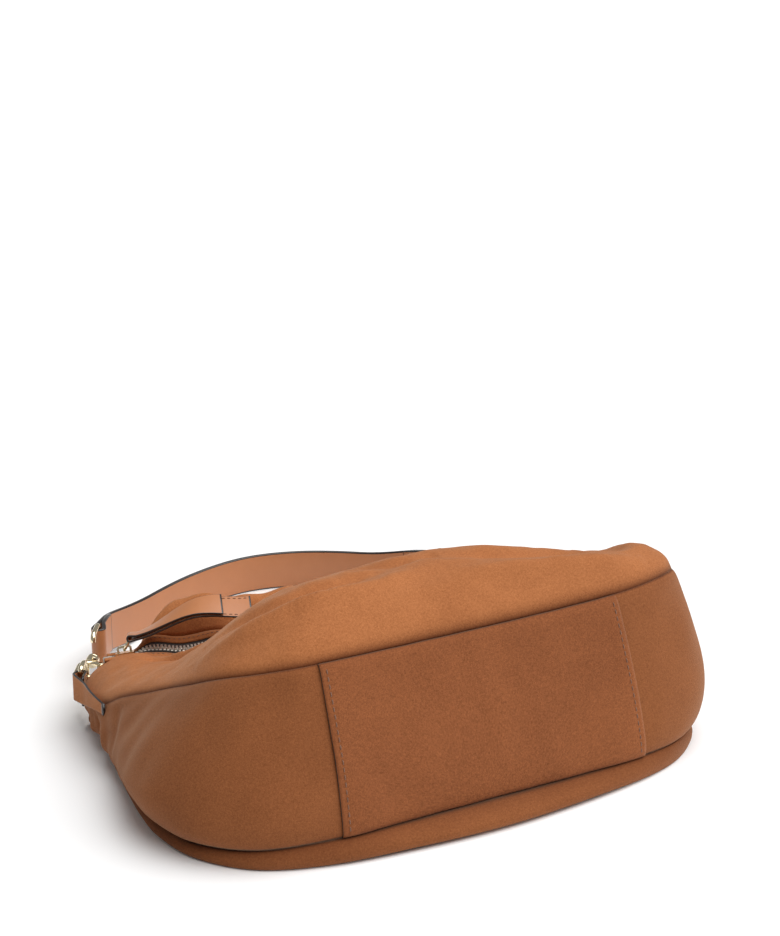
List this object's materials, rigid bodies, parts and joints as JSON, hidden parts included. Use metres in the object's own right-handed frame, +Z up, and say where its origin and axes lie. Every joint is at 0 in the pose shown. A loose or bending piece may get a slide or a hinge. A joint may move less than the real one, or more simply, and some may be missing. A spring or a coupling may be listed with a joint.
{
  "type": "hobo shoulder bag",
  "caption": "Soft hobo shoulder bag lying on its back, with a curved zip mouth, a base overlay and a flat strap on swivel hooks.",
  "frame": {"origin": "on the floor under the middle of the back panel's base edge, where the bag rests", "axes": "+X across the bag, +Y from the base to the mouth and strap, +Z up from the back panel to the front panel"},
  "size_m": [0.3948, 0.4365, 0.1534],
  "materials": {
    "suede": "napped suede",
    "strap_leather": "smooth",
    "lining": "woven",
    "tape": "woven",
    "board": "matt",
    "gold": "polished pale gold",
    "zip_metal": "polished"
  },
  "bodies": {
    "bag": {"front_panel": "suede", "back_panel": "suede", "gusset": "suede", "base_patch": "suede", "base_board": "board", "lining_front": "lining", "lining_back": "lining", "lining_gusset": "lining", "zip_facing_front": "suede", "zip_facing_back": "suede", "zip_tape_front": "tape", "zip_tape_back": "tape", "zip_teeth_front": "zip_metal", "zip_teeth_back": "zip_metal", "zip_bottom_stop": "zip_metal", "zip_top_stop": "zip_metal", "ear_tab_left": "suede", "ear_tab_right": "suede"},
    "slider": {"zip_slider": "gold"},
    "pull_ring": {"zip_pull_ring": "gold"},
    "pull_tab": {"zip_pull_tab": "strap_leather"},
    "ring_left": {"d_ring_left": "gold"},
    "ring_right": {"d_ring_right": "gold"},
    "strap": {"strap": "strap_leather", "hook_eye_left": "gold", "hook_eye_right": "gold"},
    "hook_left": {"hook_body_left": "gold", "hook_gate_pin_left": "gold"},
    "hook_right": {"hook_body_right": "gold", "hook_gate_pin_right": "gold"},
    "gate_left": {"hook_gate_left": "gold"},
    "gate_right": {"hook_gate_right": "gold"}
  },
  "joints": [
    {"name": "zip_slide", "type": "hinge", "parent": "bag", "child": "slider", "pos_m": [0, 0.56941, -0.05201], "axis": [0, 0.3, 0.9539], "range_deg": [0, 47]},
    {"name": "pull_ring_swing", "type": "hinge", "parent": "slider", "child": "pull_ring", "pos_m": [-0.14499, 0.25658, 0.05162], "axis": [-0.4027, -0.8731, 0.2746], "range_deg": [0, 90]},
    {"name": "pull_tab_swing", "type": "hinge", "parent": "pull_ring", "child": "pull_tab", "pos_m": [-0.13995, 0.25683, 0.05979], "axis": [-0.4027, -0.8731, 0.2746], "range_deg": [0, 80]},
    {"name": "ring_left_swing", "type": "hinge", "parent": "bag", "child": "ring_left", "pos_m": [-0.174, 0.267, 0.027], "axis": [0, 0, 1], "range_deg": [-4, 4]},
    {"name": "ring_right_swing", "type": "hinge", "parent": "bag", "child": "ring_right", "pos_m": [0.174, 0.267, 0.027], "axis": [0, 0, 1], "range_deg": [-4, 4]},
    {"name": "strap_swing", "type": "hinge", "parent": "bag", "child": "strap", "pos_m": [-0.16268, 0.28409, 0.027], "axis": [1, 0.0076, 0], "range_deg": [0, 24]},
    {"name": "hook_left_swivel", "type": "hinge", "parent": "strap", "child": "hook_left", "pos_m": [-0.14971, 0.30369, 0.027], "axis": [0.5519, 0.8339, 0], "range_deg": [-12, 12]},
    {"name": "gate_left_swing", "type": "hinge", "parent": "hook_left", "child": "gate_left", "pos_m": [-0.14898, 0.29121, 0.027], "axis": [0, 0, 1], "range_deg": [0, 10], "stiffness_Nm_per_rad": 0.01},
    {"name": "hook_right_swivel", "type": "hinge", "parent": "strap", "child": "hook_right", "pos_m": [0.16114, 0.30908, 0.027], "axis": [-0.2924, 0.9563, 0], "range_deg": [-12, 12]},
    {"name": "gate_right_swing", "type": "hinge", "parent": "hook_right", "child": "gate_right", "pos_m": [0.17123, 0.30171, 0.027], "axis": [0, 0, 1], "range_deg": [0, 10], "stiffness_Nm_per_rad": 0.01}
  ]
}
